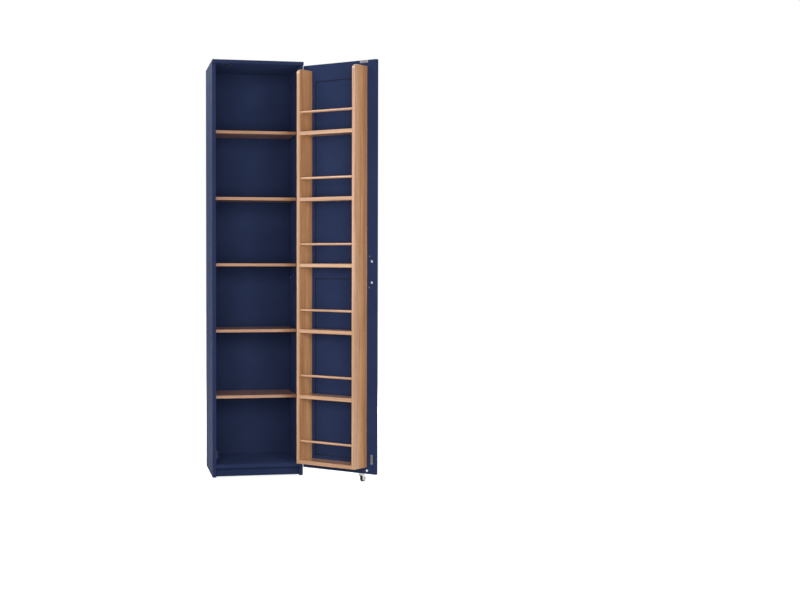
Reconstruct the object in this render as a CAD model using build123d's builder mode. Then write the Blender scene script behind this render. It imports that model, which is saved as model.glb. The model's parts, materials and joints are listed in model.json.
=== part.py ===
"""A tall, narrow kitchen cabinet with one hinged door and a storage rack on the door's inner side.

The cabinet stands on the floor with its back against a wall. The origin is at floor level, in the
middle of the back: X runs to the right, Y runs from the front to the wall, and Z is up. The door is
modelled standing open on its butt hinges, at DOOR_ANGLE from closed. All sizes are in millimetres.
"""

from build123d import *
import os
from math import radians, tan

os.makedirs("parts", exist_ok=True)

# Cabinet body
HEIGHT = 2060
WIDTH = 450
DEPTH = 425
BOARD = 18
TOP_THICKNESS = 16
TOP_OVERHANG = 25
SEAM = 1022
PLINTH_HEIGHT = 44.5
PLINTH_RECESS = 35
BACK_THICKNESS = 6
RAIL_HEIGHT = 100
GROOVE_DEPTH = 8
GROOVE_PLAY = 0.1
GROOVE_END_GAP = 1
RAIL_DOWEL_SHARES = (0.25, 0.75)

# Loose shelves
SHELF_COUNT = 5
SHELF_THICKNESS = 15
SHELF_FRONT_RECESS = 117
SHELF_SIDE_GAP = 0.5
SHELF_BACK_GAP = 1
SHELF_PIN_RADIUS = 2.5
SHELF_PIN_IN_SIDE = 10
SHELF_PIN_INSET = 40
SHELF_TONGUE_LENGTH = 8
SHELF_TONGUE_WIDTH = 7
SHELF_TONGUE_HEIGHT = 6

# Pilot holes in the top, for the bracket that holds the cabinet to the wall
BRACKET_HOLE_RADIUS = 1.5
BRACKET_HOLE_DEPTH = 12
BRACKET_HOLE_SPACING = 300
BRACKET_HOLE_FROM_BACK = 20

# Door
DOOR_ANGLE = 133
DOOR_THICKNESS = 18
DOOR_FRONT_GAP = 1.8
DOOR_SIDE_REVEAL = 1
DOOR_HINGE_REVEAL = 0.5
DOOR_TOP_GAP = 1.5
DOOR_BELOW_FLOOR_PANEL = 3
STILE_WIDTH = 74
TOP_RAIL_HEIGHT = 82
BOTTOM_RAIL_HEIGHT = 68
SEAM_RAIL_HEIGHT = 34
DOOR_PANEL_THICKNESS = 6
OUTER_RAIL_DOWEL_EDGE = 24
SEAM_RAIL_DOWEL_EDGE = 12
SEAM_DOWEL_FROM_EDGE = 46

# Butt hinges
HINGE_ABOVE_DOOR_BOTTOM = 50.5
HINGE_BELOW_SEAM = 307
HINGE_ABOVE_SEAM = 355
HINGE_BELOW_DOOR_TOP = 95.5
HINGE_LENGTH = 50
KNUCKLE_COUNT = 5
KNUCKLE_RADIUS = 3
KNUCKLE_GAP = 0.15
KNUCKLE_ROOM = 0.3
HINGE_PIN_RADIUS = 1.5
HINGE_PIN_HEAD_RADIUS = 2.4
HINGE_PIN_HEAD_HEIGHT = 0.8
LEAF_THICKNESS = 0.8
LEAF_REACH = 17.5
LEAF_TO_KNUCKLE = 0.6
LEAF_SCREW_REACH = 9.5
LEAF_SCREW_SPACING = 17
LEAF_CORNER_RADIUS = 2

# Screws, dowels and fits
SCREW_RADIUS = 1.5
SCREW_HEAD_RADIUS = 2.8
SCREW_LENGTH = 12
SCREW_HEAD_ANGLE = 90
RECESS_WIDTH = 0.6
RECESS_DEPTH = 0.8
DOWEL_RADIUS = 4
DOWEL_LENGTH = 32
DOWEL_IN_FACE = 12
HOLE_END_GAP = 0.5
RUNNING_PLAY = 0.05
SEAT_PLAY = 0.02
DRILL_PLAY = 0.05

# Cam fittings of the cabinet body
CAM_RADIUS = 7.5
CAM_DEPTH = 13.5
CAM_FROM_JOINT = 34
CAM_CAVITY = 7.8
CAM_POCKET_ROOM = 0.1
CAM_BOLT_RADIUS = 3
CAM_BOLT_NECK_RADIUS = 2.5
CAM_BOLT_NECK_LENGTH = 2.5
CAM_BOLT_HEAD_RADIUS = 3.4
CAM_BOLT_HEAD_LENGTH = 4
CAM_BOLT_IN_FACE = 11
CAM_FROM_FRONT = 60
CAM_FROM_BACK = 90
DOWEL_FROM_CAM = 32

# Double-ended cam fittings that join the two halves of the door
DOOR_CAM_RADIUS = 6
DOOR_CAM_DEPTH = 13
DOOR_CAM_FROM_SEAM = 51
DOOR_CAM_FROM_EDGE = 23.5
DOOR_CAM_BOLT_HEAD_LENGTH = 2
DOOR_CAM_BOLT_NECK_LENGTH = 4

# Magnetic catches and their strike plates
CATCH_LENGTH = 48
CATCH_BODY_LENGTH = 28
CATCH_HEIGHT = 12
CATCH_DEPTH = 15
CATCH_EAR_THICKNESS = 3
CATCH_SCREW_SPACING = 38
CATCH_TO_STRIKE = 0.3
MAGNET_LENGTH = 24
MAGNET_HEIGHT = 7
MAGNET_DEPTH = 7
MAGNET_PROUD = 0.2
STRIKE_THICKNESS = 1.2
STRIKE_WIDTH = 13
STRIKE_CORNER_RADIUS = 2
STRIKE_BELOW_DOOR_TOP = 0.5
TOP_STRIKE_FROM_EDGE = 72
SIDE_STRIKE_FROM_EDGE = 22.5
SIDE_CATCH_HEIGHT = 113.5

# Bumper that meets the front edge of the floor panel
BUMPER_RADIUS = 6
BUMPER_THICKNESS = 1.5
BUMPER_FROM_EDGE = 51
BUMPER_DROP = 4.5

# Handle
HANDLE_LENGTH = 164
HANDLE_WIDTH = 16
HANDLE_BAR_THICKNESS = 10
HANDLE_PROJECTION = 33
HANDLE_POST_LENGTH = 14
HANDLE_FROM_EDGE = 38
HANDLE_EDGE_RADIUS = 1.2
HANDLE_SCREW_RADIUS = 2
HANDLE_SCREW_IN_POST = 9
HANDLE_SCREW_HEAD_RADIUS = 4
HANDLE_SCREW_HEAD_HEIGHT = 2.2

# Rack on the door
RACK_DEPTH = 100
RACK_FROM_HINGE_EDGE = 39.5
RACK_FROM_FREE_EDGE = 52
RACK_ABOVE_FLOOR_PANEL = 11.5
RACK_BELOW_CEILING = 31.5
UPRIGHT_THICKNESS = 18
UPRIGHT_CORNER_RADIUS = 20
RACK_SHELF_COUNT = 6
RACK_SHELF_THICKNESS = 18
RACK_SHELF_SETBACK = 1
ROD_RADIUS = 6
ROD_ABOVE_SHELF = 95
ROD_FROM_FRONT = 12
ROD_IN_UPRIGHT = 10
RACK_DOWEL_RADIUS = 3
RACK_DOWEL_LENGTH = 24
RACK_DOWEL_IN_FACE = 11
RACK_DOWEL_SHARES = (0.25, 0.75)

# Caster under the door
CASTER_FROM_EDGE = 90
CASTER_PLATE_LENGTH = 41
CASTER_PLATE_WIDTH = 17
CASTER_PLATE_THICKNESS = 2.2
CASTER_PLATE_CORNER_RADIUS = 2
CASTER_SCREW_SPACING = 24
CASTER_BOSS_RADIUS = 7.5
CASTER_BOSS_HEIGHT = 2.6
CASTER_SWIVEL_GAP = 0.2
CASTER_TRAIL = 10
STEM_RADIUS = 3
STEM_HEAD_RADIUS = 5
STEM_HEAD_HEIGHT = 1.6
STEM_HEAD_ROOM = 0.5
FORK_THICKNESS = 2
FORK_TOP_LENGTH = 19
FORK_EYE_RADIUS = 5
WHEEL_RADIUS = 15
WHEEL_WIDTH = 14
TYRE_THICKNESS = 5
TYRE_EDGE_RADIUS = 2
HUB_LENGTH = 16
HUB_SLEEVE_RADIUS = 4
HUB_TO_FORK = 0.25
AXLE_RADIUS = 2
AXLE_HEAD_RADIUS = 3.5
AXLE_HEAD_THICKNESS = 1

# Cabinet body, worked out
outer_x = WIDTH / 2
inner_x = outer_x - BOARD
front_y = -DEPTH
ceiling_z = HEIGHT - TOP_THICKNESS
floor_z = PLINTH_HEIGHT + BOARD
back_rear_y = -BOARD
back_front_y = back_rear_y - BACK_THICKNESS
shelf_front_y = front_y + SHELF_FRONT_RECESS
shelf_back_y = back_front_y - SHELF_BACK_GAP
bay_height = (ceiling_z - floor_z - SHELF_COUNT * SHELF_THICKNESS) / (SHELF_COUNT + 1)
shelf_bottoms = [floor_z + bay_height + n * (bay_height + SHELF_THICKNESS) for n in range(SHELF_COUNT)]

# Door, worked out. DOOR is its own plane: the origin is on the hinge pins at floor level, X runs from
# the hinges to the free edge, Y from the cabinet's side to the outer side, and Z is up.
pin_x = outer_x
pin_y = front_y - DOOR_FRONT_GAP / 2
door_direction = Vector(-1, 0, 0).rotate(Axis.Z, DOOR_ANGLE)
DOOR = Plane(origin=(pin_x, pin_y, 0), x_dir=door_direction, z_dir=(0, 0, 1))
hinge_edge = pin_x - outer_x + DOOR_HINGE_REVEAL
free_edge = pin_x + outer_x - DOOR_SIDE_REVEAL
inner_face = DOOR_FRONT_GAP / 2
outer_face = inner_face + DOOR_THICKNESS
middle_face = inner_face + DOOR_THICKNESS / 2
door_bottom = PLINTH_HEIGHT - DOOR_BELOW_FLOOR_PANEL
door_top = ceiling_z - DOOR_TOP_GAP
hinge_heights = (
    door_bottom + HINGE_ABOVE_DOOR_BOTTOM,
    SEAM - HINGE_BELOW_SEAM,
    SEAM + HINGE_ABOVE_SEAM,
    door_top - HINGE_BELOW_DOOR_TOP,
)
hinge_places = [DOOR.offset(height) for height in hinge_heights]

# Rack, worked out in the door's plane
rack_near = hinge_edge + RACK_FROM_HINGE_EDGE
rack_far = free_edge - RACK_FROM_FREE_EDGE
rack_front = inner_face - RACK_DEPTH
rack_bottom = floor_z + RACK_ABOVE_FLOOR_PANEL
rack_top = ceiling_z - RACK_BELOW_CEILING
rack_bay = (rack_top - rack_bottom) / RACK_SHELF_COUNT
rack_shelf_bottoms = [rack_bottom + n * rack_bay for n in range(RACK_SHELF_COUNT)]
rod_heights = [z + RACK_SHELF_THICKNESS + ROD_ABOVE_SHELF for z in rack_shelf_bottoms]

screw_head_height = (SCREW_HEAD_RADIUS - SCREW_RADIUS) / tan(radians(SCREW_HEAD_ANGLE / 2))


def write(piece, name):
    """Label a finished piece and write its STEP file."""
    piece.part.label = name
    export_step(piece.part, f"parts/{name}.step")


def block(plane, x_limits, y_limits, z_limits, mode=Mode.ADD):
    """Add or cut a square block between three pairs of limits, measured in the plane."""
    x_low, x_high = sorted(x_limits)
    y_low, y_high = sorted(y_limits)
    z_low, z_high = sorted(z_limits)
    with BuildSketch(plane.offset(z_low)) as outline:
        with Locations(((x_low + x_high) / 2, (y_low + y_high) / 2)):
            Rectangle(x_high - x_low, y_high - y_low)
    extrude(outline.sketch, amount=z_high - z_low, mode=mode)


def cylinders(planes, radius, start, end, mode=Mode.ADD):
    """Add or cut a round bar along each plane's normal, from start to end."""
    with Locations(*[plane.offset(start) for plane in planes]):
        Cylinder(radius, end - start, align=(Align.CENTER, Align.CENTER, Align.MIN), mode=mode)


def facing(frame, point, direction, x_direction=(0, 0, 1)):
    """A plane at a point of the frame, whose normal and X axis are given in the frame's directions."""
    origin = frame.from_local_coords(Vector(point))
    ahead = frame.from_local_coords(Vector(point) + Vector(direction)) - origin
    across = frame.from_local_coords(Vector(point) + Vector(x_direction)) - origin
    return Plane(origin=origin, x_dir=across, z_dir=ahead)


def cross_recess(planes, half_length, depth):
    """Cut a cross-shaped driver recess into the end of each fastener."""
    with Locations(*planes):
        for length, width in ((2 * half_length, RECESS_WIDTH), (RECESS_WIDTH, 2 * half_length)):
            Box(length, width, 2 * depth, mode=Mode.SUBTRACT)


def wood_screws(planes):
    """Countersunk wood screws, each with its head's top on the plane and its point behind it."""
    below = (Align.CENTER, Align.CENTER, Align.MAX)
    with Locations(*planes):
        Cone(SCREW_RADIUS, SCREW_HEAD_RADIUS, screw_head_height, align=below)
    cylinders(planes, SCREW_RADIUS, -SCREW_LENGTH, -screw_head_height / 2)
    cross_recess(planes, SCREW_RADIUS, RECESS_DEPTH)


def screw_holes(planes):
    """The countersunk holes that the wood screws fill."""
    with Locations(*planes):
        CounterSinkHole(
            SCREW_RADIUS + DRILL_PLAY,
            SCREW_HEAD_RADIUS + DRILL_PLAY,
            depth=SCREW_LENGTH + HOLE_END_GAP,
            counter_sink_angle=SCREW_HEAD_ANGLE,
        )


# Where the cabinet's boards are joined. Each plane is on the joint: its normal points from the board
# that is drilled in its face, or the upper board, into the board that is drilled in its end. For a cam
# fitting, the plane's X axis points out of the face that the cam is set in.
cam_places = []
dowel_places = []
seam_dowel_places = []
cam_line = (front_y + CAM_FROM_FRONT, -CAM_FROM_BACK)
for hand in (-1, 1):
    middle_x = hand * (outer_x - BOARD / 2)
    for y, inward in zip(cam_line, (1, -1)):
        floor_joint = (hand * inner_x, y, PLINTH_HEIGHT + BOARD / 2)
        cam_places.append(facing(Plane.XY, floor_joint, (-hand, 0, 0), (0, 0, -1)))
        dowel_y = y + inward * DOWEL_FROM_CAM
        dowel_places.append(facing(Plane.XY, (hand * inner_x, dowel_y, floor_joint[2]), (-hand, 0, 0)))
        for joint_z in (ceiling_z, SEAM):
            cam_places.append(facing(Plane.XY, (middle_x, y, joint_z), (0, 0, -1), (-hand, 0, 0)))
        dowel_places.append(facing(Plane.XY, (middle_x, dowel_y, ceiling_z), (0, 0, -1), (1, 0, 0)))
        seam_dowel_places.append(facing(Plane.XY, (middle_x, dowel_y, SEAM), (0, 0, -1), (1, 0, 0)))

# The plinth boards and the rear rails, each as its lowest and highest Y and Z
plinth_front_y = front_y + PLINTH_RECESS
rail_limits = {
    "plinth_front": ((plinth_front_y, plinth_front_y + BOARD), (0, PLINTH_HEIGHT)),
    "plinth_rear": ((-BOARD, 0), (0, floor_z)),
    "rail_middle": ((-BOARD, 0), (SEAM - RAIL_HEIGHT / 2, SEAM + RAIL_HEIGHT / 2)),
    "rail_top": ((-BOARD, 0), (ceiling_z - RAIL_HEIGHT, ceiling_z)),
}
for (y_low, y_high), (z_low, z_high) in rail_limits.values():
    for hand in (-1, 1):
        for share in RAIL_DOWEL_SHARES:
            end = (hand * inner_x, (y_low + y_high) / 2, z_low + share * (z_high - z_low))
            dowel_places.append(facing(Plane.XY, end, (-hand, 0, 0)))

# Shelf pins: each plane is on a side's inner face, level with the pin, and looks into the cabinet
shelf_pin_places = []
for shelf_bottom in shelf_bottoms:
    for hand in (-1, 1):
        for y in (shelf_front_y + SHELF_PIN_INSET, shelf_back_y - SHELF_PIN_INSET):
            place = (hand * inner_x, y, shelf_bottom - SHELF_TONGUE_HEIGHT / 2)
            shelf_pin_places.append(facing(Plane.XY, place, (-hand, 0, 0)))

# Hinges: FRAME_SIDE mirrors the closed door's plane about the gap, so one drawing serves both leaves
FRAME_SIDE = Plane(origin=(pin_x, pin_y, 0), x_dir=(-1, 0, 0), z_dir=(0, 0, -1))
leaf_face = inner_face - LEAF_THICKNESS
leaf_screw_rows = (-LEAF_SCREW_SPACING, 0, LEAF_SCREW_SPACING)
hinge_frame_screw_places = [
    facing(FRAME_SIDE, (LEAF_SCREW_REACH, leaf_face, -height + row), (0, -1, 0))
    for height in hinge_heights
    for row in leaf_screw_rows
]
hinge_door_screw_places = [
    facing(DOOR, (LEAF_SCREW_REACH, leaf_face, height + row), (0, -1, 0))
    for height in hinge_heights
    for row in leaf_screw_rows
]

# Magnetic catches: each plane is on the board that carries the catch, its normal points away from that
# board, X runs along the catch and Y towards the door
catch_front_y = front_y - DOOR_FRONT_GAP + STRIKE_THICKNESS + CATCH_TO_STRIKE
catch_rear_y = catch_front_y + CATCH_DEPTH
catch_places = [
    Plane(origin=(TOP_STRIKE_FROM_EDGE + DOOR_SIDE_REVEAL - outer_x, catch_rear_y, ceiling_z),
          x_dir=(1, 0, 0), z_dir=(0, 0, -1)),
    Plane(origin=(-inner_x, catch_rear_y, SIDE_CATCH_HEIGHT), x_dir=(0, 0, 1), z_dir=(1, 0, 0)),
]
catch_screw_places = [
    facing(plane, (x, CATCH_DEPTH / 2, CATCH_EAR_THICKNESS), (0, 0, 1), (1, 0, 0))
    for plane in catch_places
    for x in (-CATCH_SCREW_SPACING / 2, CATCH_SCREW_SPACING / 2)
]
carcass_screw_places = hinge_frame_screw_places + catch_screw_places


def house_hinges():
    """Cut the rounded housings that the hinge knuckles turn in, where the boards' corners meet."""
    cylinders(hinge_places, KNUCKLE_RADIUS + KNUCKLE_ROOM, -HINGE_LENGTH / 2 - KNUCKLE_ROOM,
              HINGE_LENGTH / 2 + HINGE_PIN_HEAD_HEIGHT + KNUCKLE_ROOM, Mode.SUBTRACT)


def drill_carcass():
    """Cut every fitting's holes that fall in the board being made."""
    cylinders(dowel_places, DOWEL_RADIUS + DRILL_PLAY, -DOWEL_IN_FACE - HOLE_END_GAP,
              DOWEL_LENGTH - DOWEL_IN_FACE + HOLE_END_GAP, Mode.SUBTRACT)
    cylinders(seam_dowel_places, DOWEL_RADIUS + DRILL_PLAY, -DOWEL_LENGTH / 2 - HOLE_END_GAP,
              DOWEL_LENGTH / 2 + HOLE_END_GAP, Mode.SUBTRACT)
    cylinders(cam_places, CAM_BOLT_RADIUS + DRILL_PLAY,
              -CAM_BOLT_IN_FACE - HOLE_END_GAP, 0, Mode.SUBTRACT)
    cylinders(cam_places, CAM_CAVITY / 2, 0, CAM_FROM_JOINT, Mode.SUBTRACT)
    pockets = [facing(plane, (BOARD / 2, 0, CAM_FROM_JOINT), (1, 0, 0)) for plane in cam_places]
    cylinders(pockets, CAM_RADIUS + DRILL_PLAY, -CAM_DEPTH - CAM_POCKET_ROOM, 0, Mode.SUBTRACT)
    cylinders(shelf_pin_places, SHELF_PIN_RADIUS + DRILL_PLAY,
              -SHELF_PIN_IN_SIDE - HOLE_END_GAP, 0, Mode.SUBTRACT)
    screw_holes(carcass_screw_places)
    house_hinges()


# Side panels, each in a lower and an upper half, grooved for the back
for hand, side in ((-1, "left"), (1, "right")):
    for level, z_low, z_high in (("lower", 0, SEAM), ("upper", SEAM, ceiling_z)):
        with BuildPart() as side_panel:
            block(Plane.XY, (hand * inner_x, hand * outer_x), (front_y, 0), (z_low, z_high))
            block(
                Plane.XY,
                (hand * inner_x, hand * (inner_x + GROOVE_DEPTH)),
                (back_front_y - GROOVE_PLAY, back_rear_y + GROOVE_PLAY),
                (max(z_low, PLINTH_HEIGHT), z_high),
                Mode.SUBTRACT,
            )
            drill_carcass()
        write(side_panel, f"side_{side}_{level}")

bracket_hole_places = [
    facing(Plane.XY, (x, -BRACKET_HOLE_FROM_BACK, HEIGHT), (0, 0, 1), (1, 0, 0))
    for x in (-BRACKET_HOLE_SPACING / 2, BRACKET_HOLE_SPACING / 2)
]
with BuildPart() as top_panel:
    block(Plane.XY, (-outer_x, outer_x), (front_y - TOP_OVERHANG, 0), (ceiling_z, HEIGHT))
    cylinders(bracket_hole_places, BRACKET_HOLE_RADIUS, -BRACKET_HOLE_DEPTH, 0, Mode.SUBTRACT)
    drill_carcass()
write(top_panel, "top_panel")

with BuildPart() as floor_panel:
    block(Plane.XY, (-inner_x, inner_x), (front_y, back_front_y), (PLINTH_HEIGHT, floor_z))
    drill_carcass()
write(floor_panel, "floor_panel")

for name, (y_limits, z_limits) in rail_limits.items():
    with BuildPart() as rail:
        block(Plane.XY, (-inner_x, inner_x), y_limits, z_limits)
        drill_carcass()
    write(rail, name)

back_half_width = inner_x + GROOVE_DEPTH - GROOVE_END_GAP
for level, z_low, z_high in (("lower", PLINTH_HEIGHT, SEAM), ("upper", SEAM, ceiling_z)):
    with BuildPart() as back:
        block(Plane.XY, (-back_half_width, back_half_width), (back_front_y, back_rear_y), (z_low, z_high))
    write(back, f"back_{level}")

# Loose shelves on their pins
for number, shelf_bottom in enumerate(shelf_bottoms, 1):
    with BuildPart() as shelf:
        shelf_half_width = inner_x - SHELF_SIDE_GAP
        shelf_limits = (shelf_bottom, shelf_bottom + SHELF_THICKNESS)
        block(Plane.XY, (-shelf_half_width, shelf_half_width), (shelf_front_y, shelf_back_y), shelf_limits)
    write(shelf, f"shelf_{number}")

with BuildPart() as shelf_pins:
    cylinders(shelf_pin_places, SHELF_PIN_RADIUS, -SHELF_PIN_IN_SIDE, SHELF_TONGUE_LENGTH / 2)
    with Locations(*shelf_pin_places):
        Box(SHELF_TONGUE_HEIGHT, SHELF_TONGUE_WIDTH, SHELF_TONGUE_LENGTH,
            align=(Align.CENTER, Align.CENTER, Align.MIN))
write(shelf_pins, "shelf_pins")

with BuildPart() as carcass_dowels:
    cylinders(dowel_places, DOWEL_RADIUS, -DOWEL_IN_FACE, DOWEL_LENGTH - DOWEL_IN_FACE)
    cylinders(seam_dowel_places, DOWEL_RADIUS, -DOWEL_LENGTH / 2, DOWEL_LENGTH / 2)
write(carcass_dowels, "carcass_dowels")

with BuildPart() as cam_bolts:
    head_start = CAM_FROM_JOINT - CAM_BOLT_HEAD_LENGTH / 2
    shank_end = CAM_FROM_JOINT - CAM_RADIUS - CAM_BOLT_NECK_LENGTH
    cylinders(cam_places, CAM_BOLT_RADIUS, -CAM_BOLT_IN_FACE, shank_end)
    cylinders(cam_places, CAM_BOLT_NECK_RADIUS, 0, head_start)
    cylinders(cam_places, CAM_BOLT_HEAD_RADIUS, head_start, head_start + CAM_BOLT_HEAD_LENGTH)
write(cam_bolts, "cam_bolts")

with BuildPart() as cam_locks:
    cam_faces = [facing(plane, (BOARD / 2, 0, CAM_FROM_JOINT), (1, 0, 0)) for plane in cam_places]
    cylinders(cam_faces, CAM_RADIUS, -CAM_DEPTH, 0)
    for plane in cam_places:
        block(
            plane,
            (-CAM_CAVITY / 2, CAM_CAVITY / 2),
            (-CAM_CAVITY / 2, CAM_CAVITY / 2),
            (CAM_FROM_JOINT - CAM_RADIUS, CAM_FROM_JOINT + CAM_CAVITY / 2),
            Mode.SUBTRACT,
        )
    cross_recess(cam_faces, CAM_RADIUS / 2, RECESS_DEPTH)
write(cam_locks, "cam_locks")

# Magnetic catches
with BuildPart() as catches:
    for plane in catch_places:
        block(plane, (-CATCH_LENGTH / 2, CATCH_LENGTH / 2), (0, CATCH_DEPTH), (0, CATCH_EAR_THICKNESS))
        block(plane, (-CATCH_BODY_LENGTH / 2, CATCH_BODY_LENGTH / 2), (0, CATCH_DEPTH), (0, CATCH_HEIGHT))
    magnet_middle = (CATCH_HEIGHT + CATCH_EAR_THICKNESS) / 2
    for plane in catch_places:
        block(
            plane,
            (-MAGNET_LENGTH / 2, MAGNET_LENGTH / 2),
            (CATCH_DEPTH - MAGNET_DEPTH, CATCH_DEPTH),
            (magnet_middle - MAGNET_HEIGHT / 2, magnet_middle + MAGNET_HEIGHT / 2),
            Mode.SUBTRACT,
        )
    screw_holes(catch_screw_places)
write(catches, "catches")

with BuildPart() as catch_magnets:
    for plane in catch_places:
        block(
            plane,
            (SEAT_PLAY - MAGNET_LENGTH / 2, MAGNET_LENGTH / 2 - SEAT_PLAY),
            (CATCH_DEPTH - MAGNET_DEPTH, CATCH_DEPTH + MAGNET_PROUD),
            (magnet_middle - MAGNET_HEIGHT / 2 + SEAT_PLAY, magnet_middle + MAGNET_HEIGHT / 2 - SEAT_PLAY),
        )
write(catch_magnets, "catch_magnets")

with BuildPart() as carcass_screws:
    wood_screws(carcass_screw_places)
write(carcass_screws, "carcass_screws")

# Hinge leaves: the frame leaves carry the knuckles at both ends, and the door leaves those between
knuckle_pitch = HINGE_LENGTH / KNUCKLE_COUNT


def hinge_leaves(frame, heights, first_knuckle):
    """One leaf for each height, with every second knuckle starting from the first one named."""
    for height in heights:
        bottom = height - HINGE_LENGTH / 2
        plate_x = (KNUCKLE_RADIUS + LEAF_TO_KNUCKLE, LEAF_REACH)
        block(frame, plate_x, (leaf_face, inner_face), (bottom, bottom + HINGE_LENGTH))
        for number in range(first_knuckle, KNUCKLE_COUNT, 2):
            low = bottom + number * knuckle_pitch + KNUCKLE_GAP / 2
            high = low + knuckle_pitch - KNUCKLE_GAP
            block(frame, (0, plate_x[0]), (leaf_face, inner_face), (low, high))
            cylinders([frame], KNUCKLE_RADIUS, low, high)


def rounded_leaf_corners(leaves, frame):
    """One radius on the corners that lie furthest from the pins."""
    short_edges = leaves.edges().filter_by(Axis(frame.origin, frame.y_dir))
    fillet(short_edges.group_by(Axis(frame.origin, frame.x_dir))[-1], LEAF_CORNER_RADIUS)


with BuildPart() as hinge_frame_leaves:
    hinge_leaves(FRAME_SIDE, [-height for height in hinge_heights], 0)
    rounded_leaf_corners(hinge_frame_leaves, FRAME_SIDE)
    cylinders([Plane(origin=(pin_x, pin_y, 0))], HINGE_PIN_RADIUS + SEAT_PLAY, 0, HEIGHT, Mode.SUBTRACT)
    screw_holes(hinge_frame_screw_places)
write(hinge_frame_leaves, "hinge_frame_leaves")

with BuildPart() as hinge_door_leaves:
    hinge_leaves(DOOR, hinge_heights, 1)
    rounded_leaf_corners(hinge_door_leaves, DOOR)
    cylinders([DOOR], HINGE_PIN_RADIUS + RUNNING_PLAY, 0, HEIGHT, Mode.SUBTRACT)
    screw_holes(hinge_door_screw_places)
write(hinge_door_leaves, "hinge_door_leaves")

with BuildPart() as hinge_pins:
    cylinders(hinge_places, HINGE_PIN_RADIUS, -HINGE_LENGTH / 2, HINGE_LENGTH / 2)
    cylinders(hinge_places, HINGE_PIN_HEAD_RADIUS, HINGE_LENGTH / 2,
              HINGE_LENGTH / 2 + HINGE_PIN_HEAD_HEIGHT)
write(hinge_pins, "hinge_pins")

# Door frame joints, in the door's plane. A rail is named by its lower and upper edge and the edge that
# faces away from its panel, which its first dowel is measured from.
stile_inner_edges = (hinge_edge + STILE_WIDTH, free_edge - STILE_WIDTH)
door_halves = {
    "lower": (door_bottom, SEAM, BOTTOM_RAIL_HEIGHT, SEAM_RAIL_HEIGHT),
    "upper": (SEAM, door_top, SEAM_RAIL_HEIGHT, TOP_RAIL_HEIGHT),
}
door_dowel_places = []
for half, (z_low, z_high, bottom_rail, top_rail) in door_halves.items():
    if half == "lower":
        outer_dowel = z_low + OUTER_RAIL_DOWEL_EDGE
        seam_dowel = z_high - SEAM_RAIL_DOWEL_EDGE
        second_dowel = z_low + bottom_rail - GROOVE_DEPTH - 2 * DOWEL_RADIUS
    else:
        outer_dowel = z_high - OUTER_RAIL_DOWEL_EDGE
        seam_dowel = z_low + SEAM_RAIL_DOWEL_EDGE
        second_dowel = z_high - top_rail + GROOVE_DEPTH + 2 * DOWEL_RADIUS
    for dowel_z in (outer_dowel, seam_dowel, second_dowel):
        for edge, way in zip(stile_inner_edges, (1, -1)):
            door_dowel_places.append(facing(DOOR, (edge, middle_face, dowel_z), (way, 0, 0)))
for x in (hinge_edge + SEAM_DOWEL_FROM_EDGE, free_edge - SEAM_DOWEL_FROM_EDGE):
    door_dowel_places.append(facing(DOOR, (x, middle_face, SEAM), (0, 0, -1), (1, 0, 0)))

# Double-ended cam fittings, one in each stile, with both cams set in the inner face
door_cam_lines = (hinge_edge + DOOR_CAM_FROM_EDGE, free_edge - DOOR_CAM_FROM_EDGE)
door_cam_faces = [
    facing(DOOR, (x, inner_face, SEAM + side * DOOR_CAM_FROM_SEAM), (0, -1, 0))
    for x in door_cam_lines
    for side in (-1, 1)
]
door_bolt_places = [facing(DOOR, (x, middle_face, SEAM), (0, 0, 1), (1, 0, 0)) for x in door_cam_lines]

# What is screwed or plugged into the door
handle_x = free_edge - HANDLE_FROM_EDGE
handle_post_offset = (HANDLE_LENGTH - HANDLE_POST_LENGTH) / 2
handle_screw_places = [
    facing(DOOR, (handle_x, inner_face, SEAM + side * handle_post_offset), (0, -1, 0)) for side in (-1, 1)
]
top_strike_z = door_top - STRIKE_BELOW_DOOR_TOP - STRIKE_WIDTH / 2
strike_places = [
    facing(DOOR, (free_edge - TOP_STRIKE_FROM_EDGE, inner_face, top_strike_z), (0, -1, 0), (1, 0, 0)),
    facing(DOOR, (free_edge - SIDE_STRIKE_FROM_EDGE, inner_face, SIDE_CATCH_HEIGHT), (0, -1, 0)),
]
strike_screw_places = [
    facing(plane, (side * CATCH_SCREW_SPACING / 2, 0, STRIKE_THICKNESS), (0, 0, 1), (1, 0, 0))
    for plane in strike_places
    for side in (-1, 1)
]
caster_x = free_edge - CASTER_FROM_EDGE
caster_plate_bottom = door_bottom - CASTER_PLATE_THICKNESS
caster_screw_places = [
    facing(DOOR, (x, middle_face, caster_plate_bottom), (0, 0, -1), (1, 0, 0))
    for x in (caster_x - CASTER_SCREW_SPACING / 2, caster_x + CASTER_SCREW_SPACING / 2)
]
door_screw_places = hinge_door_screw_places + strike_screw_places + caster_screw_places
STEM = facing(DOOR, (caster_x, middle_face, 0), (0, 0, 1), (1, 0, 0))
upright_dowel_places = [
    facing(DOOR, (x, inner_face, rod_z + RACK_SHELF_THICKNESS), (0, -1, 0))
    for x in (rack_near + UPRIGHT_THICKNESS / 2, rack_far - UPRIGHT_THICKNESS / 2)
    for rod_z in rod_heights
]


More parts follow.
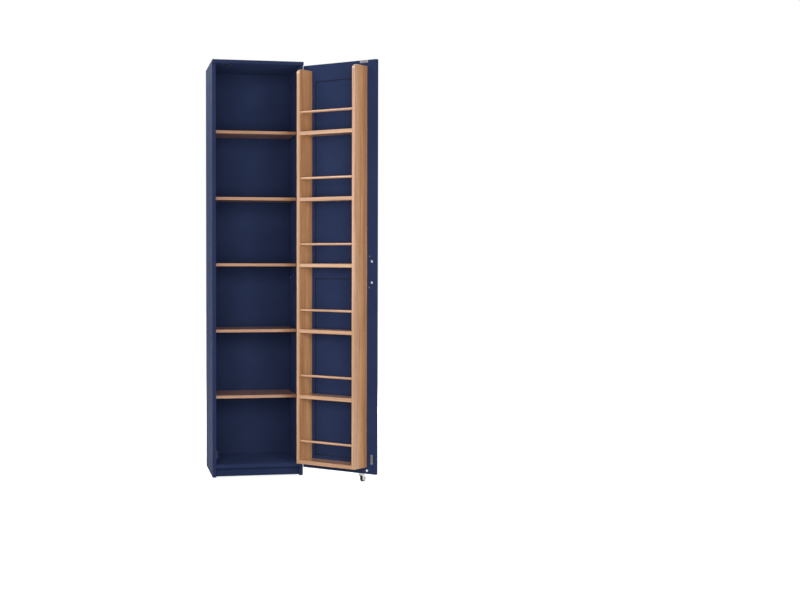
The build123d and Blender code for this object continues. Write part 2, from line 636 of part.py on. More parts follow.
def drill_door():
    """Cut every fitting's holes that fall in the stile or rail being made."""
    half_dowel = DOWEL_LENGTH / 2 + HOLE_END_GAP
    cylinders(door_dowel_places, DOWEL_RADIUS + DRILL_PLAY, -half_dowel, half_dowel, Mode.SUBTRACT)
    cylinders(door_cam_faces, DOOR_CAM_RADIUS + DRILL_PLAY,
              -DOOR_CAM_DEPTH - CAM_POCKET_ROOM, 0, Mode.SUBTRACT)
    cylinders(door_bolt_places, CAM_CAVITY / 2, -DOOR_CAM_FROM_SEAM, DOOR_CAM_FROM_SEAM, Mode.SUBTRACT)
    cylinders(handle_screw_places, HANDLE_SCREW_RADIUS + DRILL_PLAY, -DOOR_THICKNESS, 0, Mode.SUBTRACT)
    cylinders([STEM], STEM_HEAD_RADIUS + STEM_HEAD_ROOM, door_bottom,
              door_bottom + STEM_HEAD_HEIGHT + STEM_HEAD_ROOM, Mode.SUBTRACT)
    cylinders(upright_dowel_places, RACK_DOWEL_RADIUS + DRILL_PLAY,
              -RACK_DOWEL_IN_FACE - HOLE_END_GAP, 0, Mode.SUBTRACT)
    screw_holes(door_screw_places)
    house_hinges()


# Each half of the door: two stiles, two rails between them, and a flat panel held in their grooves
panel_low_y = middle_face - DOOR_PANEL_THICKNESS / 2
panel_high_y = middle_face + DOOR_PANEL_THICKNESS / 2
groove_y = (panel_low_y - GROOVE_PLAY, panel_high_y + GROOVE_PLAY)
for half, (z_low, z_high, bottom_rail, top_rail) in door_halves.items():
    opening_z = (z_low + bottom_rail, z_high - top_rail)
    groove_x = (stile_inner_edges[0] - GROOVE_DEPTH, stile_inner_edges[1] + GROOVE_DEPTH)
    groove_z = (opening_z[0] - GROOVE_DEPTH, opening_z[1] + GROOVE_DEPTH)
    members = {
        "stile_hinge": ((hinge_edge, stile_inner_edges[0]), (z_low, z_high)),
        "stile_free": ((stile_inner_edges[1], free_edge), (z_low, z_high)),
        "rail_bottom": (stile_inner_edges, (z_low, opening_z[0])),
        "rail_top": (stile_inner_edges, (opening_z[1], z_high)),
    }
    for name, (x_limits, z_limits) in members.items():
        with BuildPart() as member:
            block(DOOR, x_limits, (inner_face, outer_face), z_limits)
            block(DOOR, groove_x, groove_y, groove_z, Mode.SUBTRACT)
            drill_door()
        write(member, f"door_{half}_{name}")
    with BuildPart() as door_panel:
        block(
            DOOR,
            (groove_x[0] + GROOVE_END_GAP, groove_x[1] - GROOVE_END_GAP),
            (panel_low_y, panel_high_y),
            (groove_z[0] + GROOVE_END_GAP, groove_z[1] - GROOVE_END_GAP),
        )
    write(door_panel, f"door_{half}_panel")

with BuildPart() as door_dowels:
    cylinders(door_dowel_places, DOWEL_RADIUS, -DOWEL_LENGTH / 2, DOWEL_LENGTH / 2)
write(door_dowels, "door_dowels")

with BuildPart() as door_cams:
    cylinders(door_cam_faces, DOOR_CAM_RADIUS, -DOOR_CAM_DEPTH, 0)
    cavity = (-CAM_CAVITY / 2, CAM_CAVITY / 2)
    cavity_start = DOOR_CAM_FROM_SEAM - DOOR_CAM_RADIUS
    cavity_end = DOOR_CAM_FROM_SEAM + DOOR_CAM_BOLT_HEAD_LENGTH
    for plane in door_bolt_places:
        for way in (-1, 1):
            block(plane, cavity, cavity, (way * cavity_start, way * cavity_end), Mode.SUBTRACT)
    cross_recess(door_cam_faces, DOOR_CAM_RADIUS / 2, RECESS_DEPTH)
write(door_cams, "door_cams")

with BuildPart() as door_cam_bolts:
    cylinders(door_bolt_places, CAM_BOLT_NECK_RADIUS, -DOOR_CAM_FROM_SEAM, DOOR_CAM_FROM_SEAM)
    half_shank = DOOR_CAM_FROM_SEAM - DOOR_CAM_RADIUS - DOOR_CAM_BOLT_NECK_LENGTH
    cylinders(door_bolt_places, CAM_BOLT_RADIUS, -half_shank, half_shank)
    for head_end in (DOOR_CAM_FROM_SEAM, DOOR_CAM_BOLT_HEAD_LENGTH - DOOR_CAM_FROM_SEAM):
        cylinders(door_bolt_places, CAM_BOLT_HEAD_RADIUS, head_end - DOOR_CAM_BOLT_HEAD_LENGTH, head_end)
write(door_cam_bolts, "door_cam_bolts")

# Handle: a square D-shaped bar, one post on each half of the door
HANDLE = facing(DOOR, (handle_x, outer_face, SEAM), (1, 0, 0), (0, 1, 0))
with BuildPart() as handle:
    with BuildSketch(HANDLE.offset(-HANDLE_WIDTH / 2)) as profile:
        with Locations((HANDLE_PROJECTION / 2, 0)):
            Rectangle(HANDLE_PROJECTION, HANDLE_LENGTH)
        with Locations(((HANDLE_PROJECTION - HANDLE_BAR_THICKNESS) / 2, 0)):
            Rectangle(
                HANDLE_PROJECTION - HANDLE_BAR_THICKNESS,
                HANDLE_LENGTH - 2 * HANDLE_POST_LENGTH,
                mode=Mode.SUBTRACT,
            )
    extrude(amount=HANDLE_WIDTH)
    base_edges = handle.faces().group_by(Axis(DOOR.origin, DOOR.y_dir))[0].edges()
    fillet([edge for edge in handle.edges() if edge not in base_edges], HANDLE_EDGE_RADIUS)
    cylinders(
        [facing(plane, (0, 0, -DOOR_THICKNESS), (0, 0, -1), (1, 0, 0)) for plane in handle_screw_places],
        HANDLE_SCREW_RADIUS + DRILL_PLAY, 0, HANDLE_SCREW_IN_POST + HOLE_END_GAP, Mode.SUBTRACT,
    )
write(handle, "handle")

with BuildPart() as handle_screws:
    cylinders(handle_screw_places, HANDLE_SCREW_RADIUS, -DOOR_THICKNESS - HANDLE_SCREW_IN_POST, 0)
    cylinders(handle_screw_places, HANDLE_SCREW_HEAD_RADIUS, 0, HANDLE_SCREW_HEAD_HEIGHT)
    cross_recess([plane.offset(HANDLE_SCREW_HEAD_HEIGHT) for plane in handle_screw_places],
                 HANDLE_SCREW_RADIUS, RECESS_DEPTH)
write(handle_screws, "handle_screws")

with BuildPart() as strike_plates:
    for plane in strike_places:
        with BuildSketch(plane) as outline:
            RectangleRounded(CATCH_LENGTH, STRIKE_WIDTH, STRIKE_CORNER_RADIUS)
        extrude(outline.sketch, amount=STRIKE_THICKNESS)
    screw_holes(strike_screw_places)
write(strike_plates, "strike_plates")

with BuildPart() as door_bumper:
    bumper_place = (free_edge - BUMPER_FROM_EDGE, inner_face, floor_z - BUMPER_DROP)
    with BuildSketch(facing(DOOR, bumper_place, (0, -1, 0))):
        Circle(BUMPER_RADIUS)
    extrude(amount=BUMPER_THICKNESS)
    fillet(door_bumper.faces().sort_by(Axis(DOOR.origin, DOOR.y_dir))[0].edges(), BUMPER_THICKNESS / 2)
write(door_bumper, "door_bumper")

# Rack: two uprights on the door's stiles, shelves dowelled between them, and a rod across each bay
rod_y = rack_front + ROD_FROM_FRONT
rack_inner_edges = (rack_near + UPRIGHT_THICKNESS, rack_far - UPRIGHT_THICKNESS)
rod_places = [facing(DOOR, (rack_inner_edges[0], rod_y, rod_z), (1, 0, 0)) for rod_z in rod_heights]
rod_length = rack_inner_edges[1] - rack_inner_edges[0]
shelf_dowel_places = [
    facing(DOOR, (edge, inner_face - share * RACK_DEPTH, bottom + RACK_SHELF_THICKNESS / 2), (way, 0, 0))
    for edge, way in zip(rack_inner_edges, (1, -1))
    for bottom in rack_shelf_bottoms
    for share in RACK_DOWEL_SHARES
]


def drill_rack():
    """Cut the holes for the rack's rods and dowels that fall in the piece being made."""
    cylinders(rod_places, ROD_RADIUS + DRILL_PLAY, -ROD_IN_UPRIGHT - HOLE_END_GAP,
              rod_length + ROD_IN_UPRIGHT + HOLE_END_GAP, Mode.SUBTRACT)
    cylinders(shelf_dowel_places, RACK_DOWEL_RADIUS + DRILL_PLAY, -RACK_DOWEL_IN_FACE - HOLE_END_GAP,
              RACK_DOWEL_LENGTH - RACK_DOWEL_IN_FACE + HOLE_END_GAP, Mode.SUBTRACT)
    cylinders(upright_dowel_places, RACK_DOWEL_RADIUS + DRILL_PLAY, 0,
              RACK_DOWEL_LENGTH - RACK_DOWEL_IN_FACE + HOLE_END_GAP, Mode.SUBTRACT)


for name, near_x in (("rack_upright_hinge", rack_near), ("rack_upright_free", rack_inner_edges[1])):
    with BuildPart() as upright:
        block(DOOR, (near_x, near_x + UPRIGHT_THICKNESS), (rack_front, inner_face), (rack_bottom, rack_top))
        crosswise_edges = upright.edges().filter_by(Axis(DOOR.origin, DOOR.x_dir))
        front_edges = crosswise_edges.group_by(Axis(DOOR.origin, DOOR.y_dir))[0]
        fillet(front_edges.sort_by(Axis.Z)[-1], UPRIGHT_CORNER_RADIUS)
        drill_rack()
    write(upright, name)

for number, bottom in enumerate(rack_shelf_bottoms, 1):
    with BuildPart() as rack_shelf:
        rack_shelf_y = (rack_front + RACK_SHELF_SETBACK, inner_face)
        block(DOOR, rack_inner_edges, rack_shelf_y, (bottom, bottom + RACK_SHELF_THICKNESS))
        drill_rack()
    write(rack_shelf, f"rack_shelf_{number}")

with BuildPart() as rack_rods:
    cylinders(rod_places, ROD_RADIUS, -ROD_IN_UPRIGHT, rod_length + ROD_IN_UPRIGHT)
write(rack_rods, "rack_rods")

with BuildPart() as rack_dowels:
    for places in (shelf_dowel_places, upright_dowel_places):
        cylinders(places, RACK_DOWEL_RADIUS, -RACK_DOWEL_IN_FACE, RACK_DOWEL_LENGTH - RACK_DOWEL_IN_FACE)
write(rack_dowels, "rack_dowels")

with BuildPart() as door_screws:
    wood_screws(door_screw_places)
write(door_screws, "door_screws")

# Caster: CASTER is at floor level under the stem, and X points the way that the wheel trails
fork_top = caster_plate_bottom - CASTER_BOSS_HEIGHT - CASTER_SWIVEL_GAP
CASTER = facing(DOOR, (caster_x, middle_face, 0), (0, 0, 1), (0, 1, 0))
AXLE = facing(CASTER, (CASTER_TRAIL, 0, WHEEL_RADIUS), (0, 1, 0), (1, 0, 0))
fork_inner = HUB_LENGTH / 2 + HUB_TO_FORK
fork_outer = fork_inner + FORK_THICKNESS

with BuildPart() as caster_plate:
    with BuildSketch(STEM.offset(caster_plate_bottom)):
        RectangleRounded(CASTER_PLATE_LENGTH, CASTER_PLATE_WIDTH, CASTER_PLATE_CORNER_RADIUS)
    extrude(amount=CASTER_PLATE_THICKNESS)
    cylinders([STEM], CASTER_BOSS_RADIUS, caster_plate_bottom - CASTER_BOSS_HEIGHT, caster_plate_bottom)
    cylinders([STEM], STEM_RADIUS + RUNNING_PLAY, 0, door_bottom, Mode.SUBTRACT)
    screw_holes(caster_screw_places)
write(caster_plate, "caster_plate")

with BuildPart() as caster_fork:
    with BuildSketch(CASTER.offset(fork_top - FORK_THICKNESS)):
        Rectangle(FORK_TOP_LENGTH, 2 * fork_outer)
    extrude(amount=FORK_THICKNESS)
    for way in (-1, 1):
        with BuildSketch(AXLE.offset(way * (fork_inner + FORK_THICKNESS / 2))) as leg:
            Circle(FORK_EYE_RADIUS)
            with Locations((-CASTER_TRAIL, WHEEL_RADIUS - fork_top + FORK_THICKNESS / 2)):
                Rectangle(FORK_TOP_LENGTH, FORK_THICKNESS)
            make_hull()
        extrude(leg.sketch, amount=FORK_THICKNESS / 2, both=True)
    cylinders([STEM], STEM_RADIUS, fork_top, door_bottom + SEAT_PLAY + STEM_HEAD_HEIGHT)
    cylinders([STEM], STEM_HEAD_RADIUS, door_bottom + SEAT_PLAY, door_bottom + SEAT_PLAY + STEM_HEAD_HEIGHT)
    cylinders([AXLE], AXLE_RADIUS + SEAT_PLAY, -fork_outer, fork_outer, Mode.SUBTRACT)
write(caster_fork, "caster_fork")

with BuildPart() as caster_axle:
    cylinders([AXLE], AXLE_RADIUS, -fork_outer, fork_outer)
    cylinders([AXLE], AXLE_HEAD_RADIUS, -fork_outer - AXLE_HEAD_THICKNESS, -fork_outer)
    cylinders([AXLE], AXLE_HEAD_RADIUS, fork_outer, fork_outer + AXLE_HEAD_THICKNESS)
write(caster_axle, "caster_axle")

with BuildPart() as caster_hub:
    cylinders([AXLE], WHEEL_RADIUS - TYRE_THICKNESS, -WHEEL_WIDTH / 2, WHEEL_WIDTH / 2)
    cylinders([AXLE], HUB_SLEEVE_RADIUS, -HUB_LENGTH / 2, HUB_LENGTH / 2)
    cylinders([AXLE], AXLE_RADIUS + RUNNING_PLAY, -HUB_LENGTH / 2, HUB_LENGTH / 2, Mode.SUBTRACT)
write(caster_hub, "caster_hub")

with BuildPart() as caster_tyre:
    cylinders([AXLE], WHEEL_RADIUS, -WHEEL_WIDTH / 2, WHEEL_WIDTH / 2)
    fillet(caster_tyre.edges().filter_by(GeomType.CIRCLE), TYRE_EDGE_RADIUS)
    cylinders([AXLE], WHEEL_RADIUS - TYRE_THICKNESS, -WHEEL_WIDTH / 2, WHEEL_WIDTH / 2, Mode.SUBTRACT)
write(caster_tyre, "caster_tyre")
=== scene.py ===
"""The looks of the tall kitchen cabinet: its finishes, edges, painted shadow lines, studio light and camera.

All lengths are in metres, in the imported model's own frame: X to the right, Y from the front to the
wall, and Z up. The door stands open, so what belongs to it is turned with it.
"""

import json
from math import cos, radians, sin

import bmesh
import bpy
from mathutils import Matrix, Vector


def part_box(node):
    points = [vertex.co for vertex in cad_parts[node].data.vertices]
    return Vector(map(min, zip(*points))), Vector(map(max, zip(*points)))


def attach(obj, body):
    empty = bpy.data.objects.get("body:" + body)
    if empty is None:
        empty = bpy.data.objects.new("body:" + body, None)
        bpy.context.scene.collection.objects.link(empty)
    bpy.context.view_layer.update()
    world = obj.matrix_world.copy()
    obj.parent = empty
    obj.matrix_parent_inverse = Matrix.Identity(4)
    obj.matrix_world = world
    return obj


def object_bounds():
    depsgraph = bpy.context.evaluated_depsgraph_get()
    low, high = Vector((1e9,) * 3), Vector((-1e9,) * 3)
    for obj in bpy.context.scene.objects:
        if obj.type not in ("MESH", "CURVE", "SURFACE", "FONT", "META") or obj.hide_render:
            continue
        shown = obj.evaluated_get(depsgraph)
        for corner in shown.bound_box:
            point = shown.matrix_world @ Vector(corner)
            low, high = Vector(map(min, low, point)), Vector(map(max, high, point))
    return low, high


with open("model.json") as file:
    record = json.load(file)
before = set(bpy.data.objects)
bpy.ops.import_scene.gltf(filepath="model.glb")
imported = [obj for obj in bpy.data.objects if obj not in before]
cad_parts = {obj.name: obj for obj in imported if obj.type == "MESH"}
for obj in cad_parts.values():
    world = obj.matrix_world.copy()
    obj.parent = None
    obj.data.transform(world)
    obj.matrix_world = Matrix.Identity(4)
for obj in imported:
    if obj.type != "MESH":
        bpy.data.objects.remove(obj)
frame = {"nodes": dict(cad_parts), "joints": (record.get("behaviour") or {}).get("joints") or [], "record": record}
cad_low, cad_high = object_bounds()

# Camera, at the photograph's viewing angle
CAMERA_PLACE = (-0.753, -7.4002, 1.092)
CAMERA_YAW = 11.925
CAMERA_PITCH = -1.729
CAMERA_ROLL = 0.143
CAMERA_LENS = 63.306

# Lamps that aim at the middle of the cabinet: each one's place, width, height and power
LAMPS = {
    "front_light": ((-0.3, -6.0, 1.6), 5.0, 3.0, 325),
    "left_light": ((-3.4, -1.2, 1.6), 2.0, 2.0, 15),
    "high_left_light": ((-2.0, -0.6, 3.3), 1.5, 1.5, 38),
    "rear_left_light": ((-1.1, 2.2, 3.2), 1.2, 1.2, 80),
    "rear_light": ((2.5, 3.0, 2.2), 2.4, 2.4, 185),
}
LAMPS_WITHOUT_GLARE = ("front_light",)

# Surround: how much light it gives, and how white it looks
WORLD_STRENGTH = 0.1
WHITE = (1, 1, 1, 1)

# Floor: its size, and how much of the white surround it shows at two distances from its middle
FLOOR_SIZE = 40
NEAR_DISTANCE = 0.8
NEAR_GLOW = 0.7
FAR_DISTANCE = 3.0
FAR_GLOW = 0.95

# Edge softening: the bevel's width by kind of piece, and the shortest edge that gets one
SHARP_ANGLE = radians(35)
SAME_PLACE = 0.00001
FLAT_ANGLE = radians(0.3)
BEVEL_SEGMENTS = 3
BOARD_EDGE = 0.001
WOOD_EDGE = 0.0012
METAL_EDGE = 0.0002
SHORTEST_EDGE = 0.004
EVERY_EDGE = 0

# Painted shadow lines: dark strips in the recesses round the door's panels, and in the seam between the side
# boards
PANEL_LINE_WIDTH = 0.0044
PANEL_LINE_HEIGHT = 0.001
LINE_BURIED = 0.00005
SEAM_LINE_WIDTH = 0.0014
SEAM_LINE_SUNK = 0.00012
SEAM_LINE_THICKNESS = 0.00024
SEAM_LINE_END_GAP = 0.001

# The range that most values of a noise texture lie in
NOISE_LOW = 0.3
NOISE_HIGH = 0.7

# The shut door's angle: the lower limit of the first joint, which is the door's hinge
closed_angle = frame["joints"][0]["range_deg"][0]

# Directions that wood grain runs in, as turns that bring X to the grain
ALONG_X = (0, 0, 0)
ALONG_Z = (0, radians(-90), 0)
ALONG_DOOR = (0, 0, radians(180 - closed_angle))

# The door's own axes at rest: from its hinges to its free end, out through its front, and up
opening = radians(-closed_angle)
ACROSS = Vector((-cos(opening), -sin(opening), 0))
THROUGH = Vector((sin(opening), -cos(opening), 0))
UPWARDS = Vector((0, 0, 1))


def colour(code):
    """A scene-linear colour from the six-digit code that a screen shows."""
    parts = [int(code[start:start + 2], 16) / 255 for start in (0, 2, 4)]
    linear = [part / 12.92 if part < 0.04045 else ((part + 0.055) / 1.055) ** 2.4 for part in parts]
    return (*linear, 1)


def feed(tree, socket, value):
    """Link another node's output to a socket, or set a plain value on it."""
    if isinstance(value, bpy.types.NodeSocket):
        tree.links.new(value, socket)
    else:
        socket.default_value = value


def new_node(tree, kind, inputs=None, **settings):
    """A new node, with its settings, and its inputs filled with values or other nodes' outputs."""
    node = tree.nodes.new(kind)
    for name, value in settings.items():
        setattr(node, name, value)
    for name, value in (inputs or {}).items():
        feed(tree, node.inputs[name], value)
    return node


def add(tree, kind, inputs=None, **settings):
    """A new node of a material or a world, whose kind is written without its prefix."""
    return new_node(tree, "ShaderNode" + kind, inputs, **settings)


def new_material(name):
    """A material with an empty Principled shader, its tree and that shader."""
    material = bpy.data.materials.new(name)
    material.use_nodes = True
    tree = material.node_tree
    return material, tree, tree.nodes["Principled BSDF"]


def noise(tree, size, turn=(0, 0, 0), detail=2.0, roughness=0.5):
    """Noise in the piece's own space, whose spots are as large as size says."""
    if not isinstance(size, tuple):
        size = (size, size, size)
    place = add(tree, "TexCoord").outputs["Object"]
    mapping = add(
        tree, "Mapping", {"Vector": place, "Rotation": turn, "Scale": size}, vector_type="TEXTURE"
    )
    inputs = {
        "Vector": mapping.outputs["Vector"],
        "Scale": 1.0,
        "Detail": detail,
        "Roughness": roughness,
    }
    return add(tree, "TexNoise", inputs).outputs["Fac"]


def remap(tree, value, low, high, new_low, new_high):
    """The value, moved from one range to another and kept inside it."""
    inputs = {"Value": value, "From Min": low, "From Max": high, "To Min": new_low, "To Max": new_high}
    return add(tree, "MapRange", inputs).outputs["Result"]


def spread(tree, value, new_low=0, new_high=1):
    """Noise, spread over the whole of a range."""
    return remap(tree, value, NOISE_LOW, NOISE_HIGH, new_low, new_high)


def blend(tree, share, first, second):
    """Two colours mixed by a share from 0 to 1."""
    node = add(tree, "Mix", data_type="RGBA")
    # The node has inputs of the same names for each type of data
    colours = [socket for socket in node.inputs if socket.type == "RGBA"]
    feed(tree, node.inputs["Factor"], share)
    feed(tree, colours[0], first)
    feed(tree, colours[1], second)
    return next(socket for socket in node.outputs if socket.type == "RGBA")


def bump(tree, shader, height, distance):
    """Raise and lower the surface by a height from 0 to 1, over a distance."""
    node = add(tree, "Bump", {"Height": height, "Distance": distance, "Strength": 1.0})
    tree.links.new(node.outputs["Normal"], shader.inputs["Normal"])


def link(tree, shader, **sockets):
    """Feed the shader's inputs, each named as the shader names it but with underscores for spaces."""
    for name, value in sockets.items():
        feed(tree, shader.inputs[name.replace("_", " ")], value)


def paint():
    """Satin navy lacquer on board: slight mottling, a faint roller texture and dulled patches."""
    material, tree, shader = new_material("navy_lacquer")
    clouds = noise(tree, 0.16, detail=3)
    patches = noise(tree, 0.05, detail=4)
    tone = blend(tree, spread(tree, clouds), colour("283250"), colour("2C3655"))
    link(tree, shader, Base_Color=tone, Roughness=spread(tree, patches, 0.5, 0.6))
    link(tree, shader, Specular_IOR_Level=0.007, Diffuse_Roughness=0.55)
    bump(tree, shader, noise(tree, 0.0016, detail=2), 0.00004)
    return material


def oak(name, turn, shade=0.0):
    """Oiled oak with rings, bands, fibres and pores along the turned X axis, darkened towards deep brown by a
    share of painted shade.
    """
    material, tree, shader = new_material(name)
    place = add(tree, "TexCoord").outputs["Object"]
    inputs = {"Vector": place, "Rotation": turn, "Scale": (9.0, 1.0, 1.0)}
    mapping = add(tree, "Mapping", inputs, vector_type="TEXTURE")
    rings = add(
        tree,
        "TexWave",
        {
            "Vector": mapping.outputs["Vector"],
            "Scale": 16.0,
            "Distortion": 7.0,
            "Detail": 3.0,
            "Detail Scale": 0.5,
            "Detail Roughness": 0.6,
        },
        wave_type="RINGS",
        rings_direction="X",
        wave_profile="SIN",
    ).outputs["Fac"]
    bands = noise(tree, (0.7, 0.03, 0.03), turn, detail=3)
    fibres = noise(tree, (0.25, 0.0035, 0.0035), turn, detail=4, roughness=0.6)
    fine_fibres = noise(tree, (0.06, 0.0008, 0.0008), turn, detail=2)
    pores = noise(tree, (0.006, 0.00045, 0.00045), turn, detail=0)

    tone = blend(tree, spread(tree, bands), colour("CC9F72"), colour("B58356"))
    tone = blend(tree, remap(tree, rings, 0.15, 0.95, 0, 0.55), tone, colour("9C6840"))
    tone = blend(tree, remap(tree, fibres, 0.45, 0.7, 0, 0.65), tone, colour("93603B"))
    tone = blend(tree, remap(tree, fibres, 0.5, 0.3, 0, 0.45), tone, colour("DDB48B"))
    tone = blend(tree, remap(tree, fine_fibres, 0.5, 0.75, 0, 0.4), tone, colour("7E5034"))
    tone = blend(tree, remap(tree, pores, 0.36, 0.3, 0, 0.5), tone, colour("6E4630"))
    # Painted shade: the oak is blended towards deep brown, as if lying in the cabinet's shade
    if shade:
        tone = blend(tree, shade, tone, colour("8A5638"))
    link(tree, shader, Base_Color=tone, Roughness=spread(tree, fibres, 0.3, 0.4))
    link(tree, shader, Specular_IOR_Level=0.6, Diffuse_Roughness=0.4)
    link(tree, shader, Coat_Weight=0.9, Coat_Roughness=0.16)

    relief = blend(tree, 0.5, fine_fibres, remap(tree, pores, 0.36, 0.3, 1, 0))
    bump(tree, shader, relief, 0.00012)
    return material


def beech():
    """Plain turned beech with short flecks, for the dowels."""
    material, tree, shader = new_material("beech_dowel")
    flecks = noise(tree, 0.0012, detail=3)
    tone = blend(tree, remap(tree, flecks, 0.35, 0.65, 0, 1), colour("D8B48C"), colour("B98E66"))
    link(tree, shader, Base_Color=tone, Roughness=spread(tree, flecks, 0.55, 0.7))
    bump(tree, shader, flecks, 0.0001)
    return material


def metal(name, code, dark_code, rough_low, rough_high, metallic=1.0):
    """Metal with clouded tone, uneven polish and fine scratches."""
    material, tree, shader = new_material(name)
    clouds = noise(tree, 0.004, detail=4)
    scratches = noise(tree, (0.012, 0.0003, 0.0006), turn=(0.3, 0.5, 0.9), detail=2)
    tone = blend(tree, spread(tree, clouds), colour(code), colour(dark_code))
    polish = spread(tree, scratches, rough_low, rough_high)
    link(tree, shader, Base_Color=tone, Metallic=metallic, Roughness=polish)
    bump(tree, shader, scratches, 0.00006)
    return material


def plastic(name, code, dark_code, roughness):
    """Moulded plastic or rubber, with a fine texture and a slightly uneven tone."""
    material, tree, shader = new_material(name)
    shading = noise(tree, 0.01, detail=3)
    texture = noise(tree, 0.0008, detail=1)
    tone = blend(tree, spread(tree, shading), colour(code), colour(dark_code))
    gloss = spread(tree, texture, roughness - 0.06, roughness + 0.06)
    link(tree, shader, Base_Color=tone, Roughness=gloss, Specular_IOR_Level=0.4)
    bump(tree, shader, texture, 0.00005)
    return material


def coated_bar():
    """Dark gunmetal coating of the handle, with clouded tone and a polish that hands have made uneven."""
    material, tree, shader = new_material("gunmetal_coating")
    clouds = noise(tree, 0.012, detail=4)
    rub = noise(tree, (0.0006, 0.0006, 0.02), detail=3)
    tone = blend(tree, spread(tree, clouds), colour("4A4B50"), colour("3E3F45"))
    link(tree, shader, Base_Color=tone, Metallic=0.75, Roughness=spread(tree, rub, 0.36, 0.5))
    bump(tree, shader, rub, 0.00003)
    return material


def edge_finish(name):
    """Geometry nodes that weld the mesh and mark its long sharp edges, and their length input's name."""
    group = bpy.data.node_groups.new(name, "GeometryNodeTree")
    sockets = group.interface
    sockets.new_socket("Geometry", in_out="INPUT", socket_type="NodeSocketGeometry")
    shortest = sockets.new_socket("Shortest edge", in_out="INPUT", socket_type="NodeSocketFloat")
    sockets.new_socket("Geometry", in_out="OUTPUT", socket_type="NodeSocketGeometry")

    def above(value, limit):
        node = new_node(group, "FunctionNodeCompare", {0: value, 1: limit}, operation="GREATER_THAN")
        return node.outputs[0]

    def logic(operation, *values):
        inputs = dict(enumerate(values))
        return new_node(group, "FunctionNodeBooleanMath", inputs, operation=operation).outputs[0]

    start = new_node(group, "NodeGroupInput").outputs
    welding = {"Geometry": start["Geometry"], "Distance": SAME_PLACE}
    welded = new_node(group, "GeometryNodeMergeByDistance", welding).outputs["Geometry"]

    ends = new_node(group, "GeometryNodeInputMeshEdgeVertices").outputs
    pair = {0: ends["Position 1"], 1: ends["Position 2"]}
    length = new_node(group, "ShaderNodeVectorMath", pair, operation="DISTANCE").outputs["Value"]
    angle = new_node(group, "GeometryNodeInputMeshEdgeAngle").outputs["Unsigned Angle"]
    sharp = above(angle, SHARP_ANGLE)
    long = above(length, start["Shortest edge"])
    bevelled = logic("AND", sharp, long)
    kept_sharp = logic("NIMPLY", sharp, long)
    smooth = logic("NOT", kept_sharp)

    faces = new_node(group, "GeometryNodeSetShadeSmooth", {"Geometry": welded}, domain="FACE")
    edges = new_node(
        group,
        "GeometryNodeSetShadeSmooth",
        {"Geometry": faces.outputs["Geometry"], "Shade Smooth": smooth},
        domain="EDGE",
    )
    marked = new_node(
        group,
        "GeometryNodeStoreNamedAttribute",
        {"Geometry": edges.outputs["Geometry"], "Name": "bevel_weight_edge", "Value": bevelled},
        data_type="FLOAT",
        domain="EDGE",
    )
    new_node(group, "NodeGroupOutput", {"Geometry": marked.outputs["Geometry"]})
    return group, shortest.identifier


finish_group, shortest_socket = edge_finish("edge_finish")


def soften(node, width, shortest):
    """Round a node's long sharp edges by a small bevel, and shade its flat faces flat."""
    welding = node.modifiers.new("edge_finish", "NODES")
    welding.node_group = finish_group
    welding[shortest_socket] = shortest
    dissolve = node.modifiers.new("dissolve", "DECIMATE")
    dissolve.decimate_type = "DISSOLVE"
    dissolve.angle_limit = FLAT_ANGLE
    bevel = node.modifiers.new("bevel", "BEVEL")
    bevel.width = width
    bevel.segments = BEVEL_SEGMENTS
    bevel.limit_method = "WEIGHT"
    bevel.use_clamp_overlap = False
    bevel.loop_slide = False
    normals = node.modifiers.new("normals", "WEIGHTED_NORMAL")
    normals.keep_sharp = True


# Finishes: the material of each slot in the record, then the nodes that differ from the rest of theirs
finishes = {
    "navy_paint": paint(),
    # The shelves' oak carries painted shade, because they sit back in the cabinet's shade
    "oak": oak("oak_across", ALONG_X, shade=0.3),
    "beech": beech(),
    "zinc": metal("zinc_plate", "B9BBBE", "9FA2A6", 0.28, 0.45),
    "hinge_steel": metal("dark_hinge_zinc", "3B3F4D", "2C303D", 0.4, 0.55),
    "screw_steel": metal("screw_zinc", "B4B4B6", "A0A0A4", 0.45, 0.6, metallic=0.5),
    "dark_plastic": plastic("catch_plastic", "23283C", "1B2031", 0.5),
    "magnet": metal("magnet_faces", "24283A", "1C2030", 0.5, 0.65),
    "strike_steel": metal("strike_plate_steel", "7C7B7E", "6D6C70", 0.55, 0.7, metallic=0.15),
    "gunmetal": coated_bar(),
    "white_rubber": plastic("bumper_rubber", "EDEFF5", "E3E5EB", 0.5),
    "caster_grey": plastic("caster_nylon", "DDDDDD", "CFCFD0", 0.42),
    "axle_steel": metal("axle_rod", "ADAFB3", "96989C", 0.25, 0.38),
    "caster_rubber": plastic("tyre_rubber", "19191B", "131314", 0.62),
}
oak_upright = oak("oak_upright", ALONG_Z)
oak_rack = oak("oak_rack", ALONG_DOOR)
own_finishes = {
    "rack_upright_hinge": oak_upright,
    "rack_upright_free": oak_upright,
    "rack_rods": oak_rack,
    "shelf_pins": metal("dark_zinc", "54565D", "42444B", 0.4, 0.55),
    "handle_screws": metal("grey_zinc", "6A7082", "5C6172", 0.5, 0.65, metallic=0.25),
    "door_cams": metal("pale_zinc", "D6DAE6", "C3C7D3", 0.4, 0.55, metallic=0.25),
}
# The dark material of the painted shadow lines in the panel recesses and the side seams
joint_shadow = plastic("joint_shadow", "0E1423", "0A0F1B", 0.8)

# Each node gets its finish and its softened edges
slots = {part["node"]: part["material_slot"] for part in frame["record"]["subparts"]}
for name, node in frame["nodes"].items():
    slot = slots[name]
    finish = oak_rack if name.startswith("rack_shelf") else own_finishes.get(name, finishes[slot])
    for material_slot in node.material_slots:
        material_slot.link = "OBJECT"
        material_slot.material = finish
    if slot == "navy_paint":
        soften(node, BOARD_EDGE, SHORTEST_EDGE)
    elif name.startswith("rack_upright"):
        # The rounded tops of the uprights are made of short edges
        soften(node, WOOD_EDGE, EVERY_EDGE)
    elif slot == "oak" and name != "rack_rods":
        soften(node, WOOD_EDGE, SHORTEST_EDGE)
    else:
        soften(node, METAL_EDGE, SHORTEST_EDGE)


